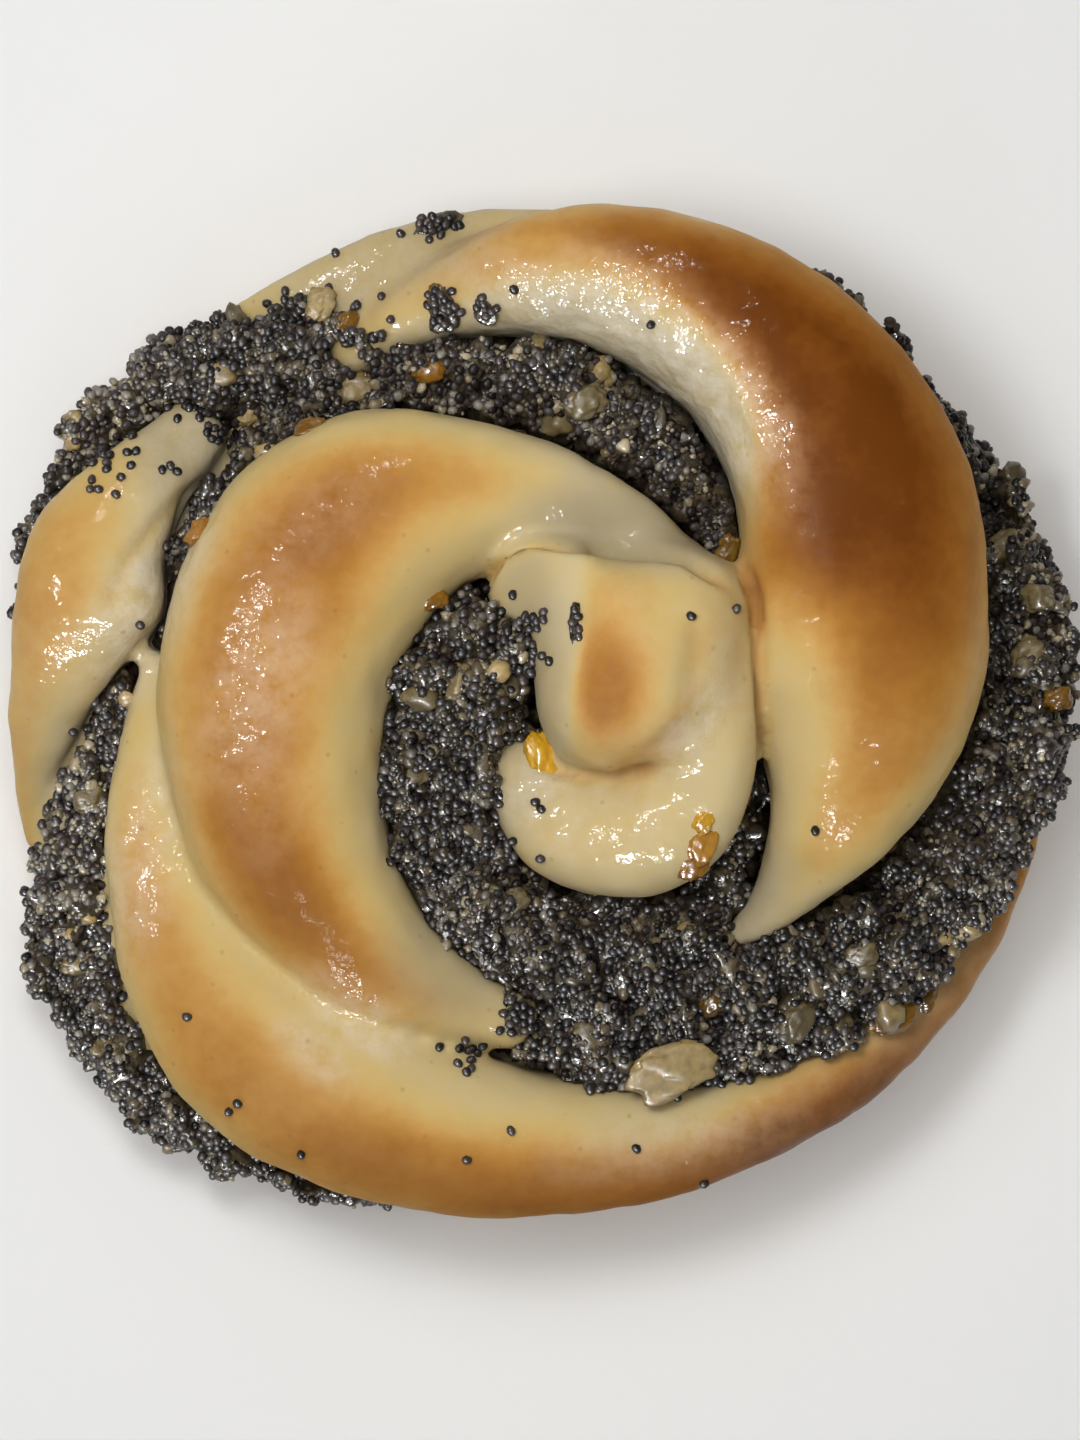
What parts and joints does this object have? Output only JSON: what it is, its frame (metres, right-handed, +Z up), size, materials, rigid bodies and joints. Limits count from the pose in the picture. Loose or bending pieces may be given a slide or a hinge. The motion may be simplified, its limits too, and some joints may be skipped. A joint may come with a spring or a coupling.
{
  "type": "sweet roll",
  "caption": "Round coiled sweet roll: fat crescents of twisted dough wind round a tucked-in middle, with seedy filling standing open between them and a flat underside.",
  "frame": {"origin": "middle of the flat underside's bounding box, at the height it rests on", "axes": "+Z up out of the coil's top, +Y towards the broad browned crescent's far end, +X towards the side where the coil's middle lies"},
  "size_m": [0.1042, 0.0974, 0.046],
  "materials": {
    "dough": null,
    "poppy_filling": null
  },
  "bodies": {
    "root": {"dough": "dough", "poppy_filling": "poppy_filling"}
  },
  "joints": []
}
